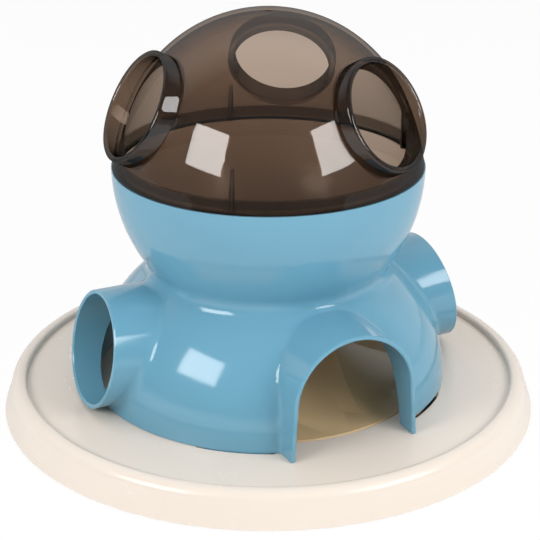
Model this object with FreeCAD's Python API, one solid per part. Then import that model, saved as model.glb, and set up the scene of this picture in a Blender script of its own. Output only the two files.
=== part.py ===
import FreeCAD, Part
import math
import os

# Cat treat feeder: a round tray carries a waisted tower with two tube spouts
# and two arches; a bowl sits in the tower under a smoked dome with paw holes.
# Millimetres. Origin: centre of the footprint, on the surface it stands on.
# +Z is up, -Y is the front, +X is the right-hand side.

V = FreeCAD.Vector

# ---- tray ----
TRAY_RADIUS = 165.0
TRAY_SIDE_LEAN = 4.4
TRAY_LIFT = 1.0
TRAY_WALL = 2.5
FLOOR_HEIGHT = 17.0
RIM_HEIGHT = 3.9
RIM_SHOULDER = 7.0
RIM_FLAT = 0.9
RIM_FOOT_ROUND = 1.6
RIB_THICKNESS = 2.0
RIB_CLEAR = 3.0

# ---- rubber feet ----
FOOT_COUNT = 6
FOOT_RADIUS = 8.0
FOOT_THICKNESS = 3.2
FOOT_POCKET_DEPTH = 2.0
FOOT_BOSS_WALL = 2.0
FOOT_EDGE_GAP = 3.0
FOOT_CLEARANCE = 0.15
FOOT_EDGE = 0.4

# ---- tower: bowl above, flared skirt below ----
WALL = 2.6
SKIRT_RADIUS = 109.6
SKIRT_CURVE = 86.0
SEAM_HEIGHT = 154.0
BOWL_RADIUS = 93.7
BOWL_CURVE = 101.4
WAIST_FILLET = 9.0
SEAT_GAP = 0.3
LEDGE_HEIGHT = 90.0
LEDGE_WIDTH = 8.5
LEDGE_THICKNESS = 2.4

# ---- exits of the tower ----
ARCH_AZIMUTH = 25.5
SPOUT_AZIMUTH = 115.5
EXITS_OF_EACH = 2
SPOUT_RADIUS = 34.7
SPOUT_OVERHANG = 5.9
SPOUT_AXIS_HEIGHT = 53.8
SPOUT_MOUTH_TILT = 12.0
ARCH_RADIUS = 38.5
ARCH_OVERHANG = 5.0
ARCH_SPRING_HEIGHT = 48.5
ARCH_LEG_SPLAY = 2.2
SPOUT_ROOT_FILLET = 6.0
ARCH_ROOT_FILLET = 4.5
MOUTH_EDGE = 0.6
EXIT_ROOT_SHARE = 0.53
LEG_OVERRUN = 3.0

# ---- tabs of the skirt and their slots in the tray ----
TAB_SPAN = 20.0
TAB_FROM_ARCH = 25.5
TAB_DROP = 3.4
TAB_THICKNESS = 1.8
SLOT_CLEARANCE = 0.6
SLOT_TURN = 2.0
FREE_SLOT_SPAN = 22.0
FREE_SLOT_FROM_ARCH = 23.5
SLOT_DEPTH = 6.0
RELIEF_HEIGHT = 1.6

# ---- deflector under the bowl ----
DISC_INSET = 11.6
DISC_THICKNESS = 2.4
DISC_RECESS = 1.6
DISC_CLEARANCE = 0.3
DISC_EDGE = 0.7
CONE_BASE_STEP = 6.0
CONE_HEIGHT = 58.0
CONE_WALL = 2.2
CONE_TIP_RADIUS = 16.0
CONE_WAIST_SHARE = 0.52
CONE_WAIST_RISE = 0.4
CONE_TIP_FALL = 0.35
CHUTE_RADIUS = 44.0
CHUTE_DIP = 24.0
CHUTE_SLOPE = 24.0
PEG_RADIUS = 3.0
PEG_FROM_EDGE = 3.5
PEG_DROP = 5.0
PEG_CLEARANCE = 0.15

# ---- inner bowl ----
BOWL_WALL = 2.2
BOWL_CLEARANCE = 0.4
DROP_HOLE_RADIUS = 17.0
DROP_HOLE_CIRCLE = 38.0
DROP_HOLE_COUNT = 4

# ---- dome ----
DOME_STEP = 0.6
DOME_HEIGHT_SHARE = 0.985
DOME_CAP_SHARE = 0.959
DOME_CAP_EDGE = 25.4
DOME_WALL = 2.4
BAND_HEIGHT = 7.5
BAND_THICKNESS = 4.2
PLUG_DROP = 6.0
PLUG_CLEARANCE = 0.3
PLUG_THICKNESS = 2.0
PAW_HOLE_COUNT = 3
PAW_HOLE_AZIMUTH = 53.6
PAW_HOLE_ELEVATION = 28.3
PAW_HOLE_RADIUS = 30.2
COLLAR_WALL = 3.8
COLLAR_RISE = 8.0
COLLAR_SINK = 1.6
COLLAR_ROUND = 1.5
LOCATING_RIB_AZIMUTHS = (-13.3, 107.0, 196.3)
LOCATING_RIB_WIDTH = 2.2
LOCATING_RIB_DEPTH = 3.6
LOCATING_RIB_RISE = 30.0
KEY_WIDTH = 4.6
KEY_REACH = 1.1
KEY_CLEARANCE = 0.3
GATE_RADIUS = 2.2
GATE_DEPTH = 0.7

# ---- how finely rounded outlines and searches are divided ----
LIP_CHORD_COUNT = 3
SHOULDER_CHORD_COUNT = 6
ROOM_CHORD_COUNT = 8
DOME_SIDE_CHORD_COUNT = 5
COLLAR_SAMPLE_COUNT = 24
HALVING_COUNT = 40
CURVE_SHARE = 0.95

# ---- what follows from the sizes above ----
RIM_TOP = FLOOR_HEIGHT + RIM_HEIGHT
SHOULDER_RADIUS = TRAY_RADIUS - TRAY_SIDE_LEAN
CREST_RADIUS = SHOULDER_RADIUS - RIM_SHOULDER
FLOOR_RADIUS = CREST_RADIUS - RIM_FLAT - RIM_FOOT_ROUND
SKIRT_FOOT = FLOOR_HEIGHT + SEAT_GAP
SPOUT_REACH = SKIRT_RADIUS + SPOUT_OVERHANG
ARCH_REACH = SKIRT_RADIUS + ARCH_OVERHANG
EXIT_ROOT_RADIUS = EXIT_ROOT_SHARE * SKIRT_RADIUS
DISC_RADIUS = SKIRT_RADIUS - DISC_INSET
CONE_BASE_RADIUS = DISC_RADIUS - CONE_BASE_STEP
PEG_CIRCLE = DISC_RADIUS - PEG_FROM_EDGE
DOME_RADIUS = BOWL_RADIUS - DOME_STEP
DOME_HEIGHT = DOME_HEIGHT_SHARE * DOME_RADIUS
DOME_CAP_CURVE = DOME_CAP_SHARE * DOME_RADIUS
PAW_HOLES = [PAW_HOLE_AZIMUTH + index * 360.0 / PAW_HOLE_COUNT for index in range(PAW_HOLE_COUNT)]
EXIT_STEP = 360.0 / EXITS_OF_EACH
FAR = 3.0 * TRAY_RADIUS
SAME_PLACE = 0.02
UP = V(0, 0, 1)
CENTRE = V(0, 0, 0)


def heading(azimuth, elevation=0.0):
    """Unit vector at an azimuth from the front, positive to the right."""
    turn = math.radians(azimuth)
    rise = math.radians(elevation)
    return V(math.sin(turn) * math.cos(rise), -math.cos(turn) * math.cos(rise), math.sin(rise))


def curved_radius(widest, curve, height, z):
    """Radius at a height of a side that is an arc, upright at its widest."""
    return widest - curve + math.sqrt(curve ** 2 - (z - height) ** 2)


def skirt_radius(z, inset=0.0):
    return curved_radius(SKIRT_RADIUS - inset, SKIRT_CURVE - inset, FLOOR_HEIGHT, z)


def bowl_radius(z, inset=0.0):
    return curved_radius(BOWL_RADIUS - inset, BOWL_CURVE - inset, SEAM_HEIGHT, z)


def halved(low, high, is_past):
    """Place between two bounds where a test starts to hold."""
    for _ in range(HALVING_COUNT):
        middle = 0.5 * (low + high)
        if is_past(middle):
            high = middle
        else:
            low = middle
    return 0.5 * (low + high)


def line(a, b):
    return Part.LineSegment(a, b).toShape()


def arc(a, middle, b):
    return Part.Arc(a, middle, b).toShape()


def turned(edges, angle=360.0):
    """Solid swept about the Z axis by a closed outline in the XZ plane."""
    outline = Part.Wire(Part.__sortEdges__(edges))
    return Part.Face(outline).revolve(CENTRE, UP, angle)


def polygon_turned(points, angle=360.0):
    corners = [V(r, 0, z) for r, z in points]
    edges = [line(a, b) for a, b in zip(corners, corners[1:] + corners[:1])]
    return turned(edges, angle)


def round_solid(radius_at, z_low, z_high):
    """Solid of revolution with an arched side and flat ends."""
    places = [V(radius_at(z), 0, z) for z in (z_low, 0.5 * (z_low + z_high), z_high)]
    base = V(0, 0, z_low)
    top = V(0, 0, z_high)
    edges = [line(base, places[0]), arc(*places), line(places[2], top), line(top, base)]
    return turned(edges)


def skirt_solid(z_low, z_high):
    return round_solid(skirt_radius, z_low, z_high)


def skirt_room(z_low, z_high):
    """Room inside the skirt's wall, with a side of chords."""
    step = (z_high - z_low) / ROOM_CHORD_COUNT
    heights = [z_low + index * step for index in range(ROOM_CHORD_COUNT + 1)]
    points = [(skirt_radius(z, WALL), z) for z in heights]
    return polygon_turned([(0.0, z_low)] + points + [(0.0, z_high)])


def bowl_solid(inset, z_low, z_high):
    return round_solid(lambda z: bowl_radius(z, inset), z_low, z_high)


def rounding(centre_r, centre_z, radius, start, end, chords):
    """Outline points of a rounded corner, from one angle to another in degrees."""
    points = []
    for index in range(chords + 1):
        turn = math.radians(start + (end - start) * index / chords)
        points.append((centre_r + radius * math.cos(turn), centre_z + radius * math.sin(turn)))
    return points


def at_azimuth(shape, azimuth):
    """Turn a shape drawn towards the front round to an azimuth."""
    placed = shape.copy()
    placed.rotate(CENTRE, UP, azimuth)
    return placed


def ring(outer, inner, z_low, z_high, span=360.0):
    return polygon_turned(((inner, z_low), (outer, z_low), (outer, z_high), (inner, z_high)), span)


def ring_segment(inner, outer, z_low, z_high, azimuth, span):
    """Part of a ring that starts at an azimuth from the front."""
    segment = ring(outer, inner, z_low, z_high, span)
    segment.rotate(CENTRE, UP, azimuth - 90.0)
    return segment


def slab(width, reach_from, reach_to, z_low, z_high):
    """Upright block towards the front, centred on the YZ plane."""
    corner = V(-width / 2.0, -reach_to, z_low)
    return Part.makeBox(width, reach_to - reach_from, z_high - z_low, corner)


# ------------------------------------------------------------------ tray

def tray_solid():
    """The tray as a full disc: leaning side, rounded rim and floor."""
    points = [(0.0, TRAY_LIFT), (TRAY_RADIUS, TRAY_LIFT)]
    points += rounding(CREST_RADIUS, RIM_TOP - RIM_SHOULDER, RIM_SHOULDER, 0.0, 90.0, SHOULDER_CHORD_COUNT)
    inner_z = RIM_TOP - RIM_FOOT_ROUND
    points += rounding(CREST_RADIUS - RIM_FLAT, inner_z, RIM_FOOT_ROUND, 90.0, 180.0, LIP_CHORD_COUNT)
    points += [(FLOOR_RADIUS, FLOOR_HEIGHT), (0.0, FLOOR_HEIGHT)]
    return polygon_turned(points)


def tray_underside():
    """The room under the tray's single wall."""
    ceiling = FLOOR_HEIGHT - TRAY_WALL
    points = [(0.0, TRAY_LIFT), (TRAY_RADIUS - TRAY_WALL, TRAY_LIFT)]
    points += [(SHOULDER_RADIUS - TRAY_WALL, RIM_TOP - RIM_SHOULDER), (CREST_RADIUS, RIM_TOP - TRAY_WALL)]
    points += [(CREST_RADIUS, ceiling), (0.0, ceiling)]
    return polygon_turned(points)


def foot_circle():
    return TRAY_RADIUS - TRAY_WALL - FOOT_EDGE_GAP - FOOT_RADIUS - FOOT_BOSS_WALL


def foot_places():
    step = 360.0 / FOOT_COUNT
    return [heading((index + 0.5) * step) * foot_circle() for index in range(FOOT_COUNT)]


def recess_floor():
    return FLOOR_HEIGHT - DISC_RECESS


def tray_ribs(inside):
    """Ribs under the floor: a ring under the well and one out to each foot."""
    low = TRAY_LIFT + RIB_CLEAR
    middle = DISC_RADIUS + DISC_CLEARANCE + TRAY_WALL - RIB_THICKNESS / 2.0
    inner = middle - RIB_THICKNESS / 2.0
    ribs = [ring(inner + RIB_THICKNESS, inner, low, FLOOR_HEIGHT)]
    rib = slab(RIB_THICKNESS, middle, foot_circle(), low, FLOOR_HEIGHT)
    for index in range(FOOT_COUNT):
        ribs.append(at_azimuth(rib, (index + 0.5) * 360.0 / FOOT_COUNT))
    return ribs[0].multiFuse(ribs[1:]).common(inside)


def foot_bosses(inside):
    bosses = []
    for place in foot_places():
        start = V(place.x, place.y, FOOT_THICKNESS - FOOT_POCKET_DEPTH)
        bosses.append(Part.makeCylinder(FOOT_RADIUS + FOOT_BOSS_WALL, FLOOR_HEIGHT - start.z, start))
    return bosses[0].multiFuse(bosses[1:]).common(inside)


def foot_pockets():
    pockets = []
    for place in foot_places():
        pockets.append(Part.makeCylinder(FOOT_RADIUS + FOOT_CLEARANCE, FOOT_THICKNESS, place))
    return pockets


def tab_azimuths():
    """Where each tab of the skirt starts, one beside each arch."""
    return [ARCH_AZIMUTH - TAB_FROM_ARCH - TAB_SPAN + index * EXIT_STEP for index in range(EXITS_OF_EACH)]


def free_slot_azimuths():
    return [ARCH_AZIMUTH + FREE_SLOT_FROM_ARCH + index * EXIT_STEP for index in range(EXITS_OF_EACH)]


def tab_slots():
    """Slots in the tray: two hold the tabs, two are free to drop them in."""
    inner = SKIRT_RADIUS - WALL - SLOT_CLEARANCE
    outer = SKIRT_RADIUS + SLOT_CLEARANCE
    low = FLOOR_HEIGHT - SLOT_DEPTH
    slots = []
    for azimuth in tab_azimuths():
        span = TAB_SPAN + 2.0 * SLOT_TURN
        slots.append(ring_segment(inner, outer, low, RIM_TOP, azimuth - SLOT_TURN, span))
    for azimuth in free_slot_azimuths():
        slots.append(ring_segment(inner, outer, low, RIM_TOP, azimuth, FREE_SLOT_SPAN))
    return slots


def peg_places():
    step = 360.0 / DROP_HOLE_COUNT
    start = ARCH_AZIMUTH + step / 2.0
    return [heading(start + index * step) * PEG_CIRCLE for index in range(DROP_HOLE_COUNT)]


def peg_holes():
    radius = PEG_RADIUS + PEG_CLEARANCE
    return [Part.makeCylinder(radius, FLOOR_HEIGHT, place) for place in peg_places()]


def make_tray():
    well_radius = DISC_RADIUS + DISC_CLEARANCE
    well_floor = recess_floor() - TRAY_WALL
    well = Part.makeCylinder(well_radius + TRAY_WALL, FLOOR_HEIGHT - well_floor, V(0, 0, well_floor))
    hollow = tray_underside().cut(well)
    tray = tray_solid().cut(hollow).fuse(tray_ribs(hollow)).fuse(foot_bosses(hollow))
    recess = Part.makeCylinder(well_radius, FLOOR_HEIGHT, V(0, 0, recess_floor()))
    tray = tray.cut([recess] + tab_slots() + peg_holes() + foot_pockets())
    return tray.removeSplitter()


def make_feet():
    feet = [Part.makeCylinder(FOOT_RADIUS, FOOT_THICKNESS, place) for place in foot_places()]
    return Part.makeCompound([foot.makeChamfer(FOOT_EDGE, [foot.Edges[2]]) for foot in feet])


# ------------------------------------------------------------- deflector

def cone_form(inset):
    """Hollow-sided cone with a domed tip, moved in by a wall."""
    base = CONE_BASE_RADIUS - inset
    tip = CONE_TIP_RADIUS - inset
    foot = recess_floor()
    top = foot + DISC_THICKNESS + CONE_HEIGHT - inset
    foot_edge = V(base, 0, foot)
    waist = V(CONE_WAIST_SHARE * base, 0, foot + CONE_WAIST_RISE * (top - foot))
    shoulder = V(tip, 0, top - CONE_TIP_FALL * tip)
    curve = (tip ** 2 + (CONE_TIP_FALL * tip) ** 2) / (2.0 * CONE_TIP_FALL * tip)
    on_tip = V(0.5 * tip, 0, top - curve + math.sqrt(curve ** 2 - 0.25 * tip ** 2))
    apex = V(0, 0, top)
    base_centre = V(0, 0, foot)
    edges = [line(base_centre, foot_edge), arc(foot_edge, waist, shoulder)]
    edges += [arc(shoulder, on_tip, apex), line(apex, base_centre)]
    return turned(edges)


def chutes(inset):
    """Inclined troughs that lead the treats out to the spouts and arches."""
    troughs = []
    floor = recess_floor() + DISC_THICKNESS
    for index in range(DROP_HOLE_COUNT):
        azimuth = ARCH_AZIMUTH + index * 360.0 / DROP_HOLE_COUNT
        way = heading(azimuth, -CHUTE_SLOPE)
        start = V(0, 0, floor + CONE_HEIGHT - CHUTE_DIP + CHUTE_RADIUS)
        troughs.append(Part.makeCylinder(CHUTE_RADIUS + inset, FAR, start, way))
    keep = Part.makeCylinder(FAR, FAR, V(0, 0, floor - inset))
    return [trough.common(keep) for trough in troughs]


def make_deflector():
    foot = recess_floor()
    top = foot + DISC_THICKNESS
    rim = [(DISC_RADIUS, foot), (DISC_RADIUS, top - DISC_EDGE), (DISC_RADIUS - DISC_EDGE, top)]
    disc = polygon_turned([(0.0, foot)] + rim + [(0.0, top)])
    solid = cone_form(0.0).cut(chutes(0.0)).fuse(disc)
    hollow = cone_form(CONE_WALL).cut(chutes(CONE_WALL))
    solid = solid.cut(hollow)
    pegs = [Part.makeCylinder(PEG_RADIUS, PEG_DROP + 0.5 * DISC_THICKNESS,
                              place + V(0, 0, foot - PEG_DROP)) for place in peg_places()]
    return solid.multiFuse(pegs).removeSplitter()


# ----------------------------------------------------------------- tower

def waist_height():
    """Height at which the bowl and the skirt have the same radius."""
    low = SEAM_HEIGHT - CURVE_SHARE * BOWL_CURVE
    high = FLOOR_HEIGHT + CURVE_SHARE * SKIRT_CURVE
    return halved(low, high, lambda z: skirt_radius(z) <= bowl_radius(z))


def waisted_form():
    """Bowl on skirt, with the crease between them rounded."""
    waist = waist_height()
    skirt = skirt_solid(SKIRT_FOOT - LEG_OVERRUN, waist)
    bowl = bowl_solid(0.0, waist, SEAM_HEIGHT)
    form = skirt.fuse(bowl).removeSplitter()
    crease = [edge for edge in form.Edges if is_crease(edge, waist)]
    return form.makeFillet(WAIST_FILLET, crease)


def is_crease(edge, height):
    box = edge.BoundBox
    level = max(abs(box.ZMin - height), abs(box.ZMax - height)) < SAME_PLACE
    return level and box.XLength > WALL


def spout_form(radius, reach_extra):
    """Round tube towards the front with its mouth tilted up."""
    tube = Part.makeCylinder(radius, FAR, V(0, -EXIT_ROOT_RADIUS, SPOUT_AXIS_HEIGHT), V(0, -1, 0))
    mouth = heading(0.0, SPOUT_MOUTH_TILT)
    plane_at = V(0, -SPOUT_REACH - reach_extra, SPOUT_AXIS_HEIGHT)
    cutter = Part.makeCylinder(FAR, FAR, plane_at, mouth)
    return tube.cut(cutter)


def arch_form(inset, reach_extra):
    """Half-round hood on two straight legs, towards the front."""
    radius = ARCH_RADIUS - inset
    foot = SKIRT_FOOT - LEG_OVERRUN - inset
    splay = radius + ARCH_LEG_SPLAY
    depth = ARCH_REACH + reach_extra
    crown = V(0, -depth, ARCH_SPRING_HEIGHT + radius)
    left = V(-radius, -depth, ARCH_SPRING_HEIGHT)
    right = V(radius, -depth, ARCH_SPRING_HEIGHT)
    left_foot = V(-splay, -depth, foot)
    right_foot = V(splay, -depth, foot)
    edges = [arc(left, crown, right), line(right, right_foot)]
    edges.append(line(right_foot, left_foot))
    edges.append(line(left_foot, left))
    face = Part.Face(Part.Wire(Part.__sortEdges__(edges)))
    return face.extrude(V(0, depth - EXIT_ROOT_RADIUS, 0))


def exits(make, azimuth):
    return [at_azimuth(make, azimuth + index * EXIT_STEP) for index in range(EXITS_OF_EACH)]


def edge_middle(edge):
    return Part.Vertex(edge.valueAt(0.5 * (edge.FirstParameter + edge.LastParameter)))


def rounded_roots(form, limbs, radius):
    """Join limbs to the waisted form and round the seams between them."""
    joined = form.multiFuse(limbs)
    trunk = Part.makeCompound(form.Faces)
    skins = Part.makeCompound([face for limb in limbs for face in limb.Faces])
    foot = SKIRT_FOOT - LEG_OVERRUN
    seams = []
    for edge in joined.Edges:
        middle = edge_middle(edge)
        shared = middle.distToShape(trunk)[0] < SAME_PLACE and middle.distToShape(skins)[0] < SAME_PLACE
        if shared and edge.BoundBox.ZMax > foot + SAME_PLACE:
            seams.append(edge)
    return joined.makeFillet(radius, seams)


def lies_in(edge, point, normal):
    """Whether an edge lies in a plane."""
    length = edge.LastParameter - edge.FirstParameter
    samples = [edge.valueAt(edge.FirstParameter + share * length) for share in (0.0, 0.35, 0.7, 1.0)]
    return max(abs((sample - point).dot(normal)) for sample in samples) < SAME_PLACE


def softened(shape, planes, size):
    """Break the edges that lie in the given end planes of the limbs."""
    foot = SKIRT_FOOT - LEG_OVERRUN
    edges = []
    for point, normal in planes:
        for edge in shape.Edges:
            if edge.BoundBox.ZMax > foot + SAME_PLACE and lies_in(edge, point, normal):
                edges.append(edge)
    return shape.makeChamfer(size, edges)


def mouth_planes():
    planes = []
    for index in range(EXITS_OF_EACH):
        azimuth = SPOUT_AZIMUTH + index * EXIT_STEP
        point = heading(azimuth) * SPOUT_REACH + V(0, 0, SPOUT_AXIS_HEIGHT)
        planes.append((point, heading(azimuth, SPOUT_MOUTH_TILT)))
        azimuth = ARCH_AZIMUTH + index * EXIT_STEP
        planes.append((heading(azimuth) * ARCH_REACH, heading(azimuth)))
    return planes


def skirt_tabs():
    """Tabs under the skirt, half a turn apart, that lock into the tray."""
    middle = SKIRT_RADIUS - 0.5 * WALL
    inner = middle - 0.5 * TAB_THICKNESS
    outer = middle + 0.5 * TAB_THICKNESS
    low = FLOOR_HEIGHT - TAB_DROP
    high = SKIRT_FOOT + WALL
    return [ring_segment(inner, outer, low, high, azimuth, TAB_SPAN) for azimuth in tab_azimuths()]


def skirt_reliefs():
    """Notches in the skirt's foot over the free slots of the tray."""
    inner = SKIRT_RADIUS - 2 * WALL
    outer = SKIRT_RADIUS + WALL
    low = SKIRT_FOOT - LEG_OVERRUN
    high = SKIRT_FOOT + RELIEF_HEIGHT
    span = FREE_SLOT_SPAN
    return [ring_segment(inner, outer, low, high, azimuth, span) for azimuth in free_slot_azimuths()]


def make_tower():
    spouts = exits(spout_form(SPOUT_RADIUS, 0.0), SPOUT_AZIMUTH)
    hoods = exits(arch_form(0.0, 0.0), ARCH_AZIMUTH)
    outer = rounded_roots(waisted_form(), spouts, SPOUT_ROOT_FILLET)
    outer = rounded_roots(outer, hoods, ARCH_ROOT_FILLET)
    foot = SKIRT_FOOT - LEG_OVERRUN
    lower_room = skirt_room(foot - WALL, LEDGE_HEIGHT - LEDGE_THICKNESS)
    bowl_room = bowl_solid(WALL, LEDGE_HEIGHT, SEAM_HEIGHT)
    below_ledge = V(0, 0, LEDGE_HEIGHT - 2 * LEDGE_THICKNESS)
    throat = Part.makeCylinder(throat_radius(), 4 * LEDGE_THICKNESS, below_ledge)
    bores = exits(spout_form(SPOUT_RADIUS - WALL, 2 * WALL), SPOUT_AZIMUTH)
    gates = exits(arch_form(WALL, 2 * WALL), ARCH_AZIMUTH)
    shell = outer.cut([lower_room, bowl_room, throat] + bores + gates)
    shell = softened(shell, mouth_planes(), MOUTH_EDGE)
    overrun = Part.makeCylinder(FAR, 2 * LEG_OVERRUN, V(0, 0, SKIRT_FOOT - 2 * LEG_OVERRUN))
    shell = shell.cut([overrun] + skirt_reliefs() + key_notches())
    return shell.multiFuse(skirt_tabs()).removeSplitter()


def throat_radius():
    return bowl_radius(LEDGE_HEIGHT, WALL) - LEDGE_WIDTH


def key_notches():
    """Notches in the tower's rim for the keys of the dome."""
    inner = BOWL_RADIUS - 2 * WALL
    outer = BOWL_RADIUS - WALL + KEY_REACH
    width = KEY_WIDTH + 2 * KEY_CLEARANCE
    low = SEAM_HEIGHT - PLUG_DROP - KEY_CLEARANCE
    notch = slab(width, inner, outer, low, SEAM_HEIGHT + WALL)
    return [at_azimuth(notch, azimuth) for azimuth in LOCATING_RIB_AZIMUTHS]


# ------------------------------------------------------------ inner bowl

def make_inner_bowl():
    top = SEAM_HEIGHT - PLUG_DROP - BOWL_CLEARANCE
    low = LEDGE_HEIGHT + SEAT_GAP
    inset = WALL + BOWL_CLEARANCE
    room = bowl_solid(inset + BOWL_WALL, low + BOWL_WALL, top)
    bowl = bowl_solid(inset, low, top).cut(room)
    holes = []
    for index in range(DROP_HOLE_COUNT):
        azimuth = ARCH_AZIMUTH + index * 360.0 / DROP_HOLE_COUNT
        place = heading(azimuth) * DROP_HOLE_CIRCLE
        holes.append(Part.makeCylinder(DROP_HOLE_RADIUS, SEAM_HEIGHT, place))
    return bowl.cut(holes).removeSplitter()


# ------------------------------------------------------------------ dome

def plug_radius():
    return BOWL_RADIUS - WALL - PLUG_CLEARANCE


def dome_curves():
    """Centres of the dome's cap and shoulder, the shoulder's curve and the way to where they meet."""
    seat = V(DOME_RADIUS, 0, SEAM_HEIGHT + SEAT_GAP)
    cap_centre = V(0, 0, seat.z + DOME_HEIGHT - DOME_CAP_CURVE)
    edge = math.radians(DOME_CAP_EDGE)
    way = V(math.cos(edge), 0, math.sin(edge))
    across = seat - cap_centre
    extra = (across.dot(across) - DOME_CAP_CURVE ** 2) / (2.0 * (DOME_CAP_CURVE - across.dot(way)))
    return cap_centre, cap_centre - way * extra, DOME_CAP_CURVE + extra, way


def dome_solid(inset, z_low):
    """The dome as a full solid, moved in by a wall."""
    cap_centre, shoulder_centre, shoulder_curve, way = dome_curves()
    cap_curve = DOME_CAP_CURVE - inset
    curve = shoulder_curve - inset
    tangent = cap_centre + way * cap_curve
    sides = []
    for index in range(DOME_SIDE_CHORD_COUNT):
        z = z_low + (tangent.z - z_low) * index / DOME_SIDE_CHORD_COUNT
        sides.append(V(shoulder_centre.x + math.sqrt(curve ** 2 - (z - shoulder_centre.z) ** 2), 0, z))
    sides.append(tangent)
    half_cap = math.radians(0.5 * (90.0 + DOME_CAP_EDGE))
    cap_middle = cap_centre + V(math.cos(half_cap), 0, math.sin(half_cap)) * cap_curve
    apex = cap_centre + UP * cap_curve
    base = V(0, 0, z_low)
    edges = [line(base, sides[0])] + [line(a, b) for a, b in zip(sides, sides[1:])]
    edges += [arc(tangent, cap_middle, apex), line(apex, base)]
    return turned(edges)


def outside_dome(point):
    """Whether a point is outside the dome's outer skin."""
    cap_centre, shoulder_centre, shoulder_curve, way = dome_curves()
    place = V(math.hypot(point.x, point.y), 0, point.z)
    from_cap = place - cap_centre
    if from_cap.z * way.x > from_cap.x * way.z:
        return from_cap.Length > DOME_CAP_CURVE
    return (place - shoulder_centre).Length > shoulder_curve


def skin_reach(start, way):
    """Distance along a way from a point inside to the dome's outer skin."""
    return halved(0.0, 2.0 * DOME_RADIUS, lambda reach: outside_dome(start + way * reach))


def hole_placement(azimuth):
    """Placement that turns +Z from the dome's centre to a paw hole."""
    return FreeCAD.Placement(V(0, 0, SEAM_HEIGHT), FreeCAD.Rotation(UP, heading(azimuth, PAW_HOLE_ELEVATION)))


def skin_span(azimuth, radius):
    """Nearest and farthest the outer skin comes on a circle about a paw hole's axis."""
    placement = hole_placement(azimuth)
    way = heading(azimuth, PAW_HOLE_ELEVATION)
    reaches = []
    for index in range(COLLAR_SAMPLE_COUNT):
        turn = index * 2.0 * math.pi / COLLAR_SAMPLE_COUNT
        start = placement.multVec(V(radius * math.cos(turn), radius * math.sin(turn), 0))
        reaches.append(skin_reach(start, way))
    return min(reaches), max(reaches)


def collar_post(azimuth):
    """A paw hole's collar as a full post with a rounded top."""
    outer = PAW_HOLE_RADIUS + COLLAR_WALL
    nearest, farthest = skin_span(azimuth, outer)
    shoulder = farthest + COLLAR_RISE
    low = nearest - COLLAR_SINK
    points = [(0.0, low), (outer, low)]
    points += rounding(outer - COLLAR_ROUND, shoulder, COLLAR_ROUND, 0.0, 90.0, LIP_CHORD_COUNT)
    post = polygon_turned(points + [(0.0, shoulder + COLLAR_ROUND)])
    post.Placement = hole_placement(azimuth)
    return post


def collar_bore(azimuth):
    """The bore with a rounded mouth that opens a collar, and the air in front of it."""
    nearest, farthest = skin_span(azimuth, PAW_HOLE_RADIUS + COLLAR_WALL)
    shoulder = farthest + COLLAR_RISE
    deep = nearest - COLLAR_SINK - 2.0 * DOME_WALL
    mouth_radius = PAW_HOLE_RADIUS + COLLAR_ROUND
    mouth = rounding(mouth_radius, shoulder, COLLAR_ROUND, 180.0, 90.0, LIP_CHORD_COUNT)
    above = shoulder + DOME_RADIUS
    points = [(0.0, deep), (PAW_HOLE_RADIUS, deep)] + mouth + [(mouth_radius, above), (0.0, above)]
    bore = polygon_turned(points)
    bore.Placement = hole_placement(azimuth)
    return bore


def locating_ribs(skin):
    """Upright ribs inside the dome, each over a key that stops it turning."""
    low = SEAM_HEIGHT - PLUG_DROP
    rib_inner = plug_radius() - DOME_WALL - LOCATING_RIB_DEPTH
    rib = slab(LOCATING_RIB_WIDTH, rib_inner, DOME_RADIUS, SEAM_HEIGHT, SEAM_HEIGHT + LOCATING_RIB_RISE)
    key = slab(KEY_WIDTH, plug_radius() - PLUG_THICKNESS, plug_radius() + KEY_REACH, low, SEAM_HEIGHT)
    pair = rib.common(skin).fuse(key)
    return [at_azimuth(pair, azimuth) for azimuth in LOCATING_RIB_AZIMUTHS]


def make_dome():
    low = SEAM_HEIGHT + SEAT_GAP
    plug_low = SEAM_HEIGHT - PLUG_DROP
    skin = dome_solid(0.0, low)
    room = dome_solid(DOME_WALL, plug_low)
    band = ring(DOME_RADIUS, DOME_RADIUS - BAND_THICKNESS, low, low + BAND_HEIGHT).common(skin)
    plug = ring(plug_radius(), plug_radius() - PLUG_THICKNESS, plug_low, low + PLUG_THICKNESS)
    posts = [collar_post(azimuth) for azimuth in PAW_HOLES]
    bores = [collar_bore(azimuth) for azimuth in PAW_HOLES]
    gate = Part.makeCylinder(GATE_RADIUS, 2 * GATE_DEPTH, V(0, 0, low + DOME_HEIGHT - GATE_DEPTH))
    solid = skin.cut(room).multiFuse([band, plug] + locating_ribs(skin) + posts)
    return solid.cut(bores + [gate]).removeSplitter()


# ---------------------------------------------------------------- export

def main():
    os.makedirs("parts", exist_ok=True)
    parts = {
        "tray": make_tray(),
        "rubber_feet": make_feet(),
        "treat_deflector": make_deflector(),
        "tower": make_tower(),
        "inner_bowl": make_inner_bowl(),
        "smoked_dome": make_dome(),
    }
    for name, shape in parts.items():
        box = shape.BoundBox
        print(name, "solids", len(shape.Solids), "valid", shape.isValid(), "volume", round(shape.Volume),
              "x", round(box.XMin, 2), round(box.XMax, 2), "y", round(box.YMin, 2), round(box.YMax, 2),
              "z", round(box.ZMin, 2), round(box.ZMax, 2))
        shape.exportStep("parts/" + name + ".step")


main()
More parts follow.
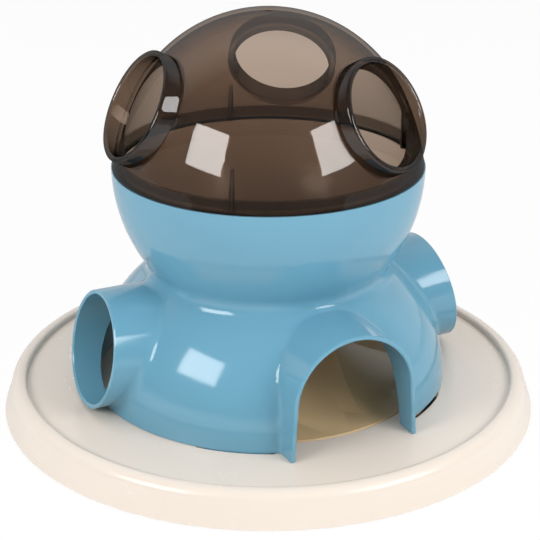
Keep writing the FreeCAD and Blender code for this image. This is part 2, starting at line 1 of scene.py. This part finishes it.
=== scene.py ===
import math
import bmesh
import bpy
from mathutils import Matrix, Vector


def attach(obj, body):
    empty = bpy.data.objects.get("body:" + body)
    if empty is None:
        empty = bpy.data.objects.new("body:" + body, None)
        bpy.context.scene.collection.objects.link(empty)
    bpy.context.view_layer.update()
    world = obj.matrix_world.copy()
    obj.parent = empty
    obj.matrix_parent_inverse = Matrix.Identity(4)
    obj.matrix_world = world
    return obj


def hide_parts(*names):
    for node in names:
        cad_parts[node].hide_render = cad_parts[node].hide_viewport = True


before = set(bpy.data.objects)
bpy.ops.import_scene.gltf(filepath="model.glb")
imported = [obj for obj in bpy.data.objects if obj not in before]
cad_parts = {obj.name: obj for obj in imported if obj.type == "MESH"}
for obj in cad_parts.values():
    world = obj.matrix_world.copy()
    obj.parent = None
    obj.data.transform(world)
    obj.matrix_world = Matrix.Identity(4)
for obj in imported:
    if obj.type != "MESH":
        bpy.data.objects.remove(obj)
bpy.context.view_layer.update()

# Cat treat feeder: cream tray, glossy blue tower with spouts and arches, cream
# bowl and smoked dome. Metres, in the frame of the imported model.


# ------------------------------------------------------------ shader maths

class Value:
    """A socket of a finish, on which plain Python maths adds Math nodes."""

    def __init__(self, finish, socket):
        self.finish = finish
        self.socket = socket

    def maths(self, operation, first, second):
        return self.finish.node("ShaderNodeMath", {"operation": operation}, {0: first, 1: second})

    def __add__(self, other):
        return self.maths("ADD", self, other)

    def __sub__(self, other):
        return self.maths("SUBTRACT", self, other)

    def __rsub__(self, other):
        return self.maths("SUBTRACT", other, self)

    def __mul__(self, other):
        return self.maths("MULTIPLY", self, other)

    def __pow__(self, other):
        return self.maths("POWER", self, other)

    __radd__ = __add__
    __rmul__ = __mul__


class Finish:
    """A material, or the world, and the nodes in it."""

    def __init__(self, name, owners=bpy.data.materials, output="ShaderNodeOutputMaterial"):
        self.owner = owners.new(name)
        self.owner.use_nodes = True
        self.tree = self.owner.node_tree
        self.tree.nodes.clear()
        self.output = self.tree.nodes.new(output)

    def node(self, kind, settings=None, inputs=None, output=0):
        """Adds a node, sets or links its inputs, and gives one of its outputs."""
        made = self.tree.nodes.new(kind)
        for name, value in (settings or {}).items():
            setattr(made, name, value)
        for name, value in (inputs or {}).items():
            if isinstance(value, Value):
                self.tree.links.new(value.socket, made.inputs[name])
            else:
                made.inputs[name].default_value = value
        return Value(self, made.outputs[output])

    def place(self, stretch=(1.0, 1.0, 1.0)):
        """Place on the piece, which a pattern can stretch."""
        spot = self.node("ShaderNodeTexCoord", output="Object")
        inputs = {"Vector": spot, "Scale": stretch}
        return self.node("ShaderNodeMapping", {"vector_type": "POINT"}, inputs)

    def cloud(self, scale, detail, rough=0.5, stretch=(1.0, 1.0, 1.0)):
        """Soft noise between about 0.3 and 0.7."""
        spot = self.place(stretch)
        inputs = {"Vector": spot, "Scale": scale, "Detail": detail, "Roughness": rough}
        return self.node("ShaderNodeTexNoise", inputs=inputs, output="Fac")

    def mask(self, value, low, high):
        """0 up to the low value, 1 from the high one, and an even ramp between."""
        share = self.node("ShaderNodeValToRGB", inputs={"Fac": value})
        stops = share.socket.node.color_ramp.elements
        stops[0].position = low
        stops[1].position = high
        return share

    def light_path(self, question):
        """1 or 0 for the ray that is being traced, such as Is Camera Ray."""
        return self.node("ShaderNodeLightPath", output=question)

    def blend(self, share, first, second):
        """Colour between two colours."""
        inputs = {0: share, 6: first, 7: second}
        return self.node("ShaderNodeMix", {"data_type": "RGBA"}, inputs, 2)

    def bump(self, height, strength, distance):
        inputs = {"Height": height, "Strength": strength, "Distance": distance}
        return self.node("ShaderNodeBump", inputs=inputs)

    def clear(self, tint):
        """Plastic that light passes straight through and takes the tint of."""
        return self.node("ShaderNodeBsdfTransparent", inputs={"Color": tint})

    def plastic(self, **inputs):
        named = {name.replace("_", " ").title(): value for name, value in inputs.items()}
        if "Ior" in named:
            named["IOR"] = named.pop("Ior")
        return self.node("ShaderNodeBsdfPrincipled", inputs=named)

    def mix(self, share, first, second):
        """Surface between two surfaces."""
        return self.node("ShaderNodeMixShader", inputs={0: share, 1: first, 2: second})

    def close(self, surface):
        """Links the surface to the output and gives the finished material or world."""
        self.tree.links.new(surface.socket, self.output.inputs["Surface"])
        return self.owner


def rgba(red, green, blue):
    return (red, green, blue, 1.0)


# ----------------------------------------------------- colours and measures

WHITE = rgba(1.0, 1.0, 1.0)
BLUE_LIGHT = rgba(0.136, 0.334, 0.456)
BLUE_DEEP = rgba(0.126, 0.315, 0.433)
CREAM_LIGHT = rgba(0.738, 0.657, 0.580)
CREAM_DEEP = rgba(0.714, 0.634, 0.556)
# the insert's tan is its own colour, darkened and warmed further as painted shade inside the closed tower
TAN_LIGHT = rgba(0.620, 0.440, 0.245)
TAN_DEEP = rgba(0.580, 0.405, 0.220)
RUBBER_LIGHT = rgba(0.30, 0.28, 0.26)
RUBBER_DEEP = rgba(0.16, 0.15, 0.14)
SMOKE_BODY = rgba(0.022, 0.016, 0.013)

# the roughness of a clean face, and what rubs, scuffs, dust and the mottle add to it
BLUE_ROUGHNESS = 0.085
BLUE_RUBBED = 0.10
BLUE_MOTTLED = 0.04
TRAY_ROUGHNESS = 0.22
TRAY_SCUFFED = 0.05
TRAY_MOTTLED = 0.05
INSIDE_MOTTLED = 0.09
SHINE_ROUGHNESS = 0.03
SHINE_RUBBED = 0.05
RUBBER_ROUGHNESS = 0.72
RUBBER_DUSTED = 0.2

# smoked plastic: the heights between which the foot's tint, darker as painted shade of the dim inside
# seen through the dome's lower part, gives way to the crown's, the share of mirror gloss seen face on,
# and how late the gloss of the edge sets in
SHADED_FOOT_FADE = (0.160, 0.225)
FACE_GLOSS = 0.045
GLOSS_POWER = 5.0
SKIN_LOOK = {
    "crown_tint": rgba(0.690, 0.605, 0.535),
    "foot_tint_with_painted_shade": rgba(0.462, 0.401, 0.355),
    "edge_tint": rgba(0.12, 0.090, 0.07),
    "falloff": 3.0,
    "haze": 0.015,
    "edge_gloss": 0.10,
}
COLLAR_LOOK = {
    "crown_tint": rgba(0.420, 0.340, 0.280),
    "foot_tint_with_painted_shade": rgba(0.380, 0.305, 0.250),
    "edge_tint": rgba(0.01, 0.008, 0.006),
    "falloff": 1.1,
    "haze": 0.015,
    "edge_gloss": 0.03,
}
BAND_LOOK = {
    "crown_tint": rgba(0.330, 0.270, 0.225),
    "foot_tint_with_painted_shade": rgba(0.265, 0.216, 0.180),
    "edge_tint": rgba(0.06, 0.05, 0.04),
    "falloff": 2.0,
    "haze": 0.05,
    "edge_gloss": 0.06,
}

# corners of a node's mesh nearer than this are one corner
MERGE_DISTANCE = 1e-6
# an edge that turns by more degrees than this stays sharp; the finer value is for the tower and
# the pieces inside it
CREASE = 35.0
FINE_CREASE = 30.0

# the lip of the bowl, as radius and height: up inside the dome's foot, and rooted in the bowl's wall
RIM_PROFILE = (
    (0.0879, 0.1425),
    (0.0869, 0.1465),
    (0.0869, 0.1532),
    (0.0873, 0.1536),
    (0.0880, 0.1536),
    (0.0884, 0.1532),
    (0.0884, 0.1476),
    (0.0890, 0.1471),
    (0.0890, 0.1440),
)
RIM_STEPS = 144

# the collars of the paw holes, along the axis of each hole, which starts on the tower's axis at
# the height of the seam; a normal's share along that axis tells walls and ends from the skin
SEAM = 0.154
PAW_HOLE_AZIMUTHS = (53.6, 173.6, 293.6)
PAW_HOLE_ELEVATION = 28.3
COLLAR_RADIUS = 0.0340
COLLAR_MARGIN = 0.0001
COLLAR_INNER_END = 0.0830
COLLAR_LIP = 0.0885
COLLAR_WALL_SHARE = 0.85
COLLAR_END_SHARE = 0.98

# the band at the dome's foot, and the upright ribs inside it
BAND_FOOT = 0.1545
BAND_TOP = 0.1619
RIB_AZIMUTHS = (-13.3, 107.0, 196.3)
RIB_TOP = 0.1845
RIB_INNER = 0.0851
RIB_INNER_TOP = 0.1760
RIB_HALF_WIDTH = 0.0012
RIB_SIDE_SHARE = 0.3

# the dome's places in its list of finishes; its skin has place 0
COLLAR_INDEX = 1
BAND_INDEX = 2

# the world's brightness: as light, in mirrors towards the front, and where it is seen plain; its
# mirror view turns from dim to white over this share of the way towards the back
WORLD_FILL = 0.49
WORLD_FRONT = 0.20
WORLD_WHITE = 1.0
WORLD_TURN = (0.0, 0.45)

# the floor, and the distances from the middle between which its shade gives way to white
FLOOR_RADIUS = 4.0
FLOOR_SEGMENTS = 96
FLOOR_PALE = rgba(0.90, 0.90, 0.90)
FLOOR_WHITE = 0.93
UNDER_TRAY = (0.140, 0.155)

CAMERA_PLACE = (0.0, -0.8758, 0.4517)
CAMERA_TARGET = (0.0, 0.0, 0.0839)
CAMERA_SETTINGS = {
    "lens": 102.95,
    "sensor_width": 36.0,
    "shift_x": 0.0031,
    "clip_start": 0.05,
    "clip_end": 30.0,
}


# --------------------------------------------------------------- finishes

def glossy_blue():
    """Injection-moulded blue plastic, high gloss, with slow flow clouds and a few fine rubs."""
    finish = Finish("glossy_blue_plastic")
    flow = finish.cloud(scale=9.0, detail=2.0)
    streaks = finish.cloud(scale=46.0, detail=5.0, rough=0.62, stretch=(1.0, 1.0, 0.16))
    rubs = finish.mask(streaks, low=0.55, high=0.74)
    mottle = finish.cloud(scale=160.0, detail=2.0)
    ripple = finish.cloud(scale=34.0, detail=1.0)
    return finish.close(finish.plastic(
        base_color=finish.blend(flow, BLUE_DEEP, BLUE_LIGHT),
        roughness=BLUE_ROUGHNESS + BLUE_RUBBED * rubs + BLUE_MOTTLED * mottle,
        normal=finish.bump(ripple, strength=0.10, distance=0.0008),
        ior=1.5))


def cream_tray():
    """Satin cream plastic with faint flow clouds, fine grain and scuffs from use."""
    finish = Finish("cream_tray_plastic")
    flow = finish.cloud(scale=7.0, detail=2.0)
    streaks = finish.cloud(scale=60.0, detail=6.0, rough=0.66, stretch=(1.0, 0.22, 1.0))
    scuffs = finish.mask(streaks, low=0.58, high=0.72)
    mottle = finish.cloud(scale=190.0, detail=2.0)
    grain = finish.cloud(scale=620.0, detail=2.0)
    return finish.close(finish.plastic(
        base_color=finish.blend(flow, CREAM_DEEP, CREAM_LIGHT),
        roughness=TRAY_ROUGHNESS + TRAY_SCUFFED * scuffs + TRAY_MOTTLED * mottle,
        normal=finish.bump(grain, strength=0.06, distance=0.0004),
        ior=1.49))


def inside_plastic(name, light, deep, roughness, ior):
    """Smooth cream or tan plastic of the pieces inside the tower; the tan is darkened and warmed in part as
    painted shade.
    """
    finish = Finish(name)
    flow = finish.cloud(scale=12.0, detail=3.0)
    mottle = finish.cloud(scale=75.0, detail=3.0)
    ripple = finish.cloud(scale=40.0, detail=1.0)
    return finish.close(finish.plastic(
        base_color=finish.blend(flow, deep, light),
        roughness=roughness + INSIDE_MOTTLED * mottle,
        normal=finish.bump(ripple, strength=0.06, distance=0.0006),
        ior=ior))


def smoked(name, crown_tint, foot_tint_with_painted_shade, edge_tint, falloff, haze, edge_gloss):
    """Smoked-brown plastic, deeper towards its foot as painted shade of the dim inside behind it, with a
    mirror gloss that grows to the edge.
    """
    finish = Finish(name)
    height = finish.node("ShaderNodeSeparateXYZ", inputs={"Vector": finish.place()}, output="Z")
    facing = finish.node("ShaderNodeLayerWeight", inputs={"Blend": 0.5}, output="Facing")
    # the foot's darker tint is painted shade of the dim inside seen through the dome's lower part
    crown_share = finish.mask(height, *SHADED_FOOT_FADE)
    through = finish.mix(crown_share, finish.clear(foot_tint_with_painted_shade), finish.clear(crown_tint))
    clear = finish.mix(facing ** falloff, through, finish.clear(edge_tint))
    body = finish.plastic(base_color=SMOKE_BODY, roughness=0.05, ior=1.49)
    tinted = finish.mix(haze, clear, body)
    streaks = finish.cloud(scale=52.0, detail=5.0, rough=0.6, stretch=(1.0, 1.0, 0.3))
    rubs = finish.mask(streaks, low=0.56, high=0.76)
    shine_roughness = SHINE_ROUGHNESS + SHINE_RUBBED * rubs
    shine = finish.plastic(base_color=WHITE, metallic=1.0, roughness=shine_roughness)
    gloss = FACE_GLOSS + edge_gloss * facing ** GLOSS_POWER
    return finish.close(finish.mix(gloss, tinted, shine))


def foot_rubber():
    """Matt grey-brown rubber with a speckled, dusty face."""
    finish = Finish("foot_rubber")
    specks = finish.cloud(scale=900.0, detail=3.0)
    return finish.close(finish.plastic(
        base_color=finish.blend(specks, RUBBER_DEEP, RUBBER_LIGHT),
        roughness=RUBBER_ROUGHNESS + RUBBER_DUSTED * specks,
        normal=finish.bump(specks, strength=0.3, distance=0.0003)))


# ------------------------------------------------------------ dressed nodes

def add_object(name, data):
    """Adds an object with the given data to the scene."""
    thing = bpy.data.objects.new(name, data)
    bpy.context.scene.collection.objects.link(thing)
    return thing


def shade(mesh, crease):
    """Shades a mesh smooth, except over the edges that turn by more than the crease."""
    mesh.shade_smooth()
    mesh.set_sharp_from_angle(angle=math.radians(crease))


def smoothed(node, name, body, material, crease):
    """A merged copy of a CAD node with smooth shading, standing for it."""
    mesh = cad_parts[node].data.copy()
    mesh.name = name
    shape = bmesh.new()
    shape.from_mesh(mesh)
    bmesh.ops.remove_doubles(shape, verts=shape.verts, dist=MERGE_DISTANCE)
    shape.to_mesh(mesh)
    shape.free()
    flat_normals = mesh.attributes.get("custom_normal")
    if flat_normals:
        mesh.attributes.remove(flat_normals)
    shade(mesh, crease)
    mesh.materials.clear()
    mesh.materials.append(material)
    piece = add_object(name, mesh)
    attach(piece, body)
    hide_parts(node)
    return piece


def raise_rim(mesh, crease):
    """Carries the bowl's rim up to the seam, inside the dome's foot, as a thin round lip."""
    shape = bmesh.new()
    shape.from_mesh(mesh)
    faces_before = set(shape.faces)
    corners = [shape.verts.new((radius, 0.0, height)) for radius, height in RIM_PROFILE]
    edges = [shape.edges.new(pair) for pair in zip(corners, corners[1:] + corners[:1])]
    bmesh.ops.spin(shape, geom=corners + edges, axis=(0.0, 0.0, 1.0), angle=2.0 * math.pi,
                   steps=RIM_STEPS, use_merge=True)
    lip_faces = [face for face in shape.faces if face not in faces_before]
    bmesh.ops.recalc_face_normals(shape, faces=lip_faces)
    shape.to_mesh(mesh)
    shape.free()
    shade(mesh, crease)


def heading(azimuth, elevation):
    """Unit vector; azimuth 0 is the front and 90 the right, in degrees."""
    turn = math.radians(azimuth)
    rise = math.radians(elevation)
    level = math.cos(rise)
    return Vector((math.sin(turn) * level, -math.cos(turn) * level, math.sin(rise)))


def on_collar(face):
    """Whether a face belongs to a collar: its walls, its lip or the end inside the dome."""
    from_centre = face.center - Vector((0.0, 0.0, SEAM))
    for azimuth in PAW_HOLE_AZIMUTHS:
        way = heading(azimuth, PAW_HOLE_ELEVATION)
        along = from_centre.dot(way)
        aside = (from_centre - way * along).length
        turned = face.normal.dot(way)
        wall = abs(turned) < COLLAR_WALL_SHARE
        lip = along > COLLAR_LIP
        inner_end = turned < -COLLAR_END_SHARE and along < COLLAR_INNER_END
        if along > 0.0 and aside < COLLAR_RADIUS + COLLAR_MARGIN and (wall or lip or inner_end):
            return True
    return False


def on_rib(face):
    """Whether a face belongs to an upright rib: near its middle plane, and turned sideways or innermost."""
    outward = Vector((face.center.x, face.center.y, 0.0))
    turned_out = abs(face.normal.dot(outward.normalized()))
    sideways = turned_out < RIB_SIDE_SHARE and abs(face.normal.z) < RIB_SIDE_SHARE
    innermost = outward.length < RIB_INNER and face.center.z < RIB_INNER_TOP
    for azimuth in RIB_AZIMUTHS:
        aside = abs(outward.dot(heading(azimuth + 90.0, 0.0)))
        if aside < RIB_HALF_WIDTH and outward.dot(heading(azimuth, 0.0)) > 0.0:
            return face.center.z < RIB_TOP and (sideways or innermost)
    return False


def thicken_look(mesh, collar_finish, band_finish):
    """The collars, the band and the ribs are thick plastic and look darker than the skin."""
    mesh.materials.append(collar_finish)
    mesh.materials.append(band_finish)
    for face in mesh.polygons:
        if on_collar(face):
            face.material_index = COLLAR_INDEX
        elif BAND_FOOT < face.center.z < BAND_TOP or on_rib(face):
            face.material_index = BAND_INDEX


smoothed("tray", "tray_shell", "base", cream_tray(), CREASE)
smoothed("rubber_feet", "grip_feet", "base", foot_rubber(), CREASE)

# the insert's darker, warmer tan carries painted shade of the closed tower
tan_and_shade_plastic = inside_plastic("tan_insert_with_painted_shade", TAN_LIGHT, TAN_DEEP, roughness=0.30, ior=1.33)
smoothed("treat_deflector", "deflector_insert", "base", tan_and_shade_plastic, FINE_CREASE)

smoothed("tower", "tower_shell", "tower_body", glossy_blue(), FINE_CREASE)

cream_plastic = inside_plastic("cream_bowl_plastic", CREAM_LIGHT, CREAM_DEEP, roughness=0.17, ior=1.49)
bowl = smoothed("inner_bowl", "treat_bowl", "bowl_body", cream_plastic, FINE_CREASE)
raise_rim(bowl.data, FINE_CREASE)

skin = smoked("smoked_skin_plastic", **SKIN_LOOK)
collar = smoked("smoked_collar_plastic", **COLLAR_LOOK)
band = smoked("smoked_band_plastic", **BAND_LOOK)
dome = smoothed("smoked_dome", "dome_shell", "dome_body", skin, CREASE)
thicken_look(dome.data, collar, band)


# ------------------------------------------------------------------ studio

def aim(thing, place, target):
    """Puts a lamp or the camera in its place and turns it to its target."""
    thing.location = place
    way = Vector(target) - Vector(place)
    thing.rotation_euler = way.to_track_quat("-Z", "Y").to_euler()


def softbox(name, place, target, width, height, power, mirrored=True):
    """A rectangular lamp, which glossy faces can mirror or not."""
    data = bpy.data.lights.new(name, "AREA")
    data.shape = "RECTANGLE"
    data.size = width
    data.size_y = height
    data.energy = power
    lamp = add_object(name, data)
    lamp.visible_glossy = mirrored
    aim(lamp, place, target)


def studio_world():
    """Soft light all round; plain white to the camera, and white behind and dim in front in mirrors."""
    finish = Finish("studio", bpy.data.worlds, "ShaderNodeOutputWorld")
    way = finish.node("ShaderNodeTexCoord", output="Generated")
    backward = finish.node("ShaderNodeSeparateXYZ", inputs={"Vector": way}, output="Y")
    fill, dim, white = [finish.node("ShaderNodeBackground", inputs={"Color": WHITE, "Strength": strength})
                        for strength in (WORLD_FILL, WORLD_FRONT, WORLD_WHITE)]
    mirrored = finish.mix(finish.mask(backward, *WORLD_TURN), dim, white)
    soft = finish.mix(finish.light_path("Is Glossy Ray"), fill, mirrored)
    bpy.context.scene.world = finish.close(finish.mix(finish.light_path("Is Camera Ray"), soft, white))


def pale_floor():
    """Pale floor that looks white in the open and keeps its shade under the tray."""
    mesh = bpy.data.meshes.new("floor")
    shape = bmesh.new()
    bmesh.ops.create_circle(shape, cap_ends=True, segments=FLOOR_SEGMENTS, radius=FLOOR_RADIUS)
    shape.to_mesh(mesh)
    shape.free()
    finish = Finish("floor_white")
    away = finish.node("ShaderNodeVectorMath", {"operation": "LENGTH"}, {0: finish.place()}, "Value")
    open_floor = finish.mask(away, *UNDER_TRAY)
    pale = finish.plastic(base_color=FLOOR_PALE, roughness=0.9)
    white = finish.node("ShaderNodeEmission", inputs={"Color": WHITE, "Strength": 1.0})
    white_share = finish.light_path("Is Camera Ray") * open_floor * FLOOR_WHITE
    mesh.materials.append(finish.close(finish.mix(white_share, pale, white)))
    floor = add_object("floor", mesh)


def camera():
    data = bpy.data.cameras.new("camera")
    for name, value in CAMERA_SETTINGS.items():
        setattr(data, name, value)
    eye = add_object("camera", data)
    aim(eye, CAMERA_PLACE, CAMERA_TARGET)
    bpy.context.scene.camera = eye


studio_world()
pale_floor()
camera()
softbox("softbox_left", place=(-0.600, -0.553, 0.491), target=(-0.025, -0.066, 0.204),
        width=0.43, height=0.30, power=3.7)
softbox("softbox_right", place=(0.652, -0.476, 0.507), target=(0.050, -0.039, 0.214),
        width=0.49, height=0.35, power=4.3)
softbox("softbox_top", place=(0.0, -0.25, 1.60), target=(0.0, 0.0, 0.1),
        width=1.8, height=1.8, power=7.2, mirrored=False)

bpy.context.scene.view_settings.view_transform = "Standard"
